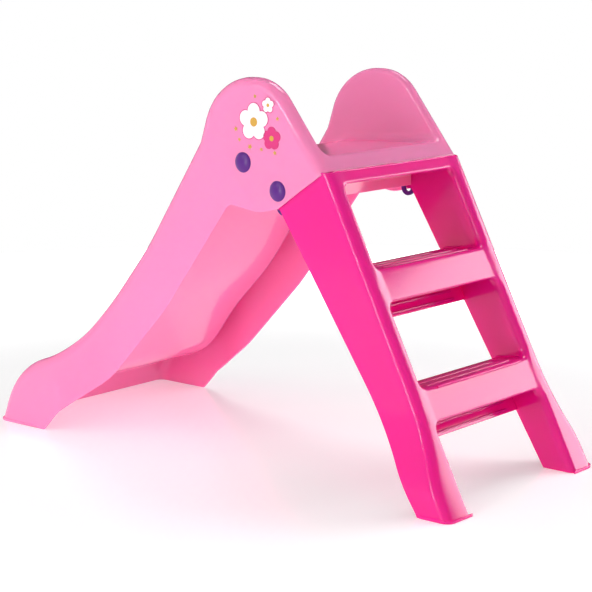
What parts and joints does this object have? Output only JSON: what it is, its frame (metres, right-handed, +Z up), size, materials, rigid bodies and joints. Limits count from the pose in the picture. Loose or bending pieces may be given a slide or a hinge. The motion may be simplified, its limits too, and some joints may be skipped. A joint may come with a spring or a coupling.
{
  "type": "toddler slide",
  "caption": "Small indoor slide for toddlers: a moulded chute shell with tall side ears, bolted to a moulded step ladder.",
  "frame": {"origin": "on the floor, at the middle of the slide's length and width", "axes": "+X towards the ladder, +Z up, the slide is symmetric about the plane Y = 0"},
  "size_m": [1.086, 0.465, 0.697],
  "materials": {
    "chute_plastic": "glossy moulded plastic",
    "ladder_plastic": "glossy moulded plastic",
    "fastener_plastic": "glossy moulded plastic",
    "sticker_film": "printed film"
  },
  "bodies": {
    "slide": {"chute_shell": "chute_plastic", "ladder_shell": "ladder_plastic", "bolt_upper_left": "fastener_plastic", "bolt_upper_right": "fastener_plastic", "bolt_lower_left": "fastener_plastic", "bolt_lower_right": "fastener_plastic", "ear_sticker_left": "sticker_film", "ear_sticker_right": "sticker_film"},
    "nut_upper_left": {"lock_nut_upper_left": "fastener_plastic"},
    "nut_upper_right": {"lock_nut_upper_right": "fastener_plastic"},
    "nut_lower_left": {"lock_nut_lower_left": "fastener_plastic"},
    "nut_lower_right": {"lock_nut_lower_right": "fastener_plastic"}
  },
  "joints": [
    {"name": "turn_upper_left", "type": "hinge", "parent": "slide", "child": "nut_upper_left", "pos_m": [0.0785, -0.1835, 0.551], "axis": [0, 1, 0], "range_deg": [0, 90]},
    {"name": "turn_upper_right", "type": "hinge", "parent": "slide", "child": "nut_upper_right", "pos_m": [0.0785, 0.1835, 0.551], "axis": [0, 1, 0], "range_deg": [0, 90]},
    {"name": "turn_lower_left", "type": "hinge", "parent": "slide", "child": "nut_lower_left", "pos_m": [0.1565, -0.1835, 0.507], "axis": [0, 1, 0], "range_deg": [0, 90]},
    {"name": "turn_lower_right", "type": "hinge", "parent": "slide", "child": "nut_lower_right", "pos_m": [0.1565, 0.1835, 0.507], "axis": [0, 1, 0], "range_deg": [0, 90]}
  ]
}
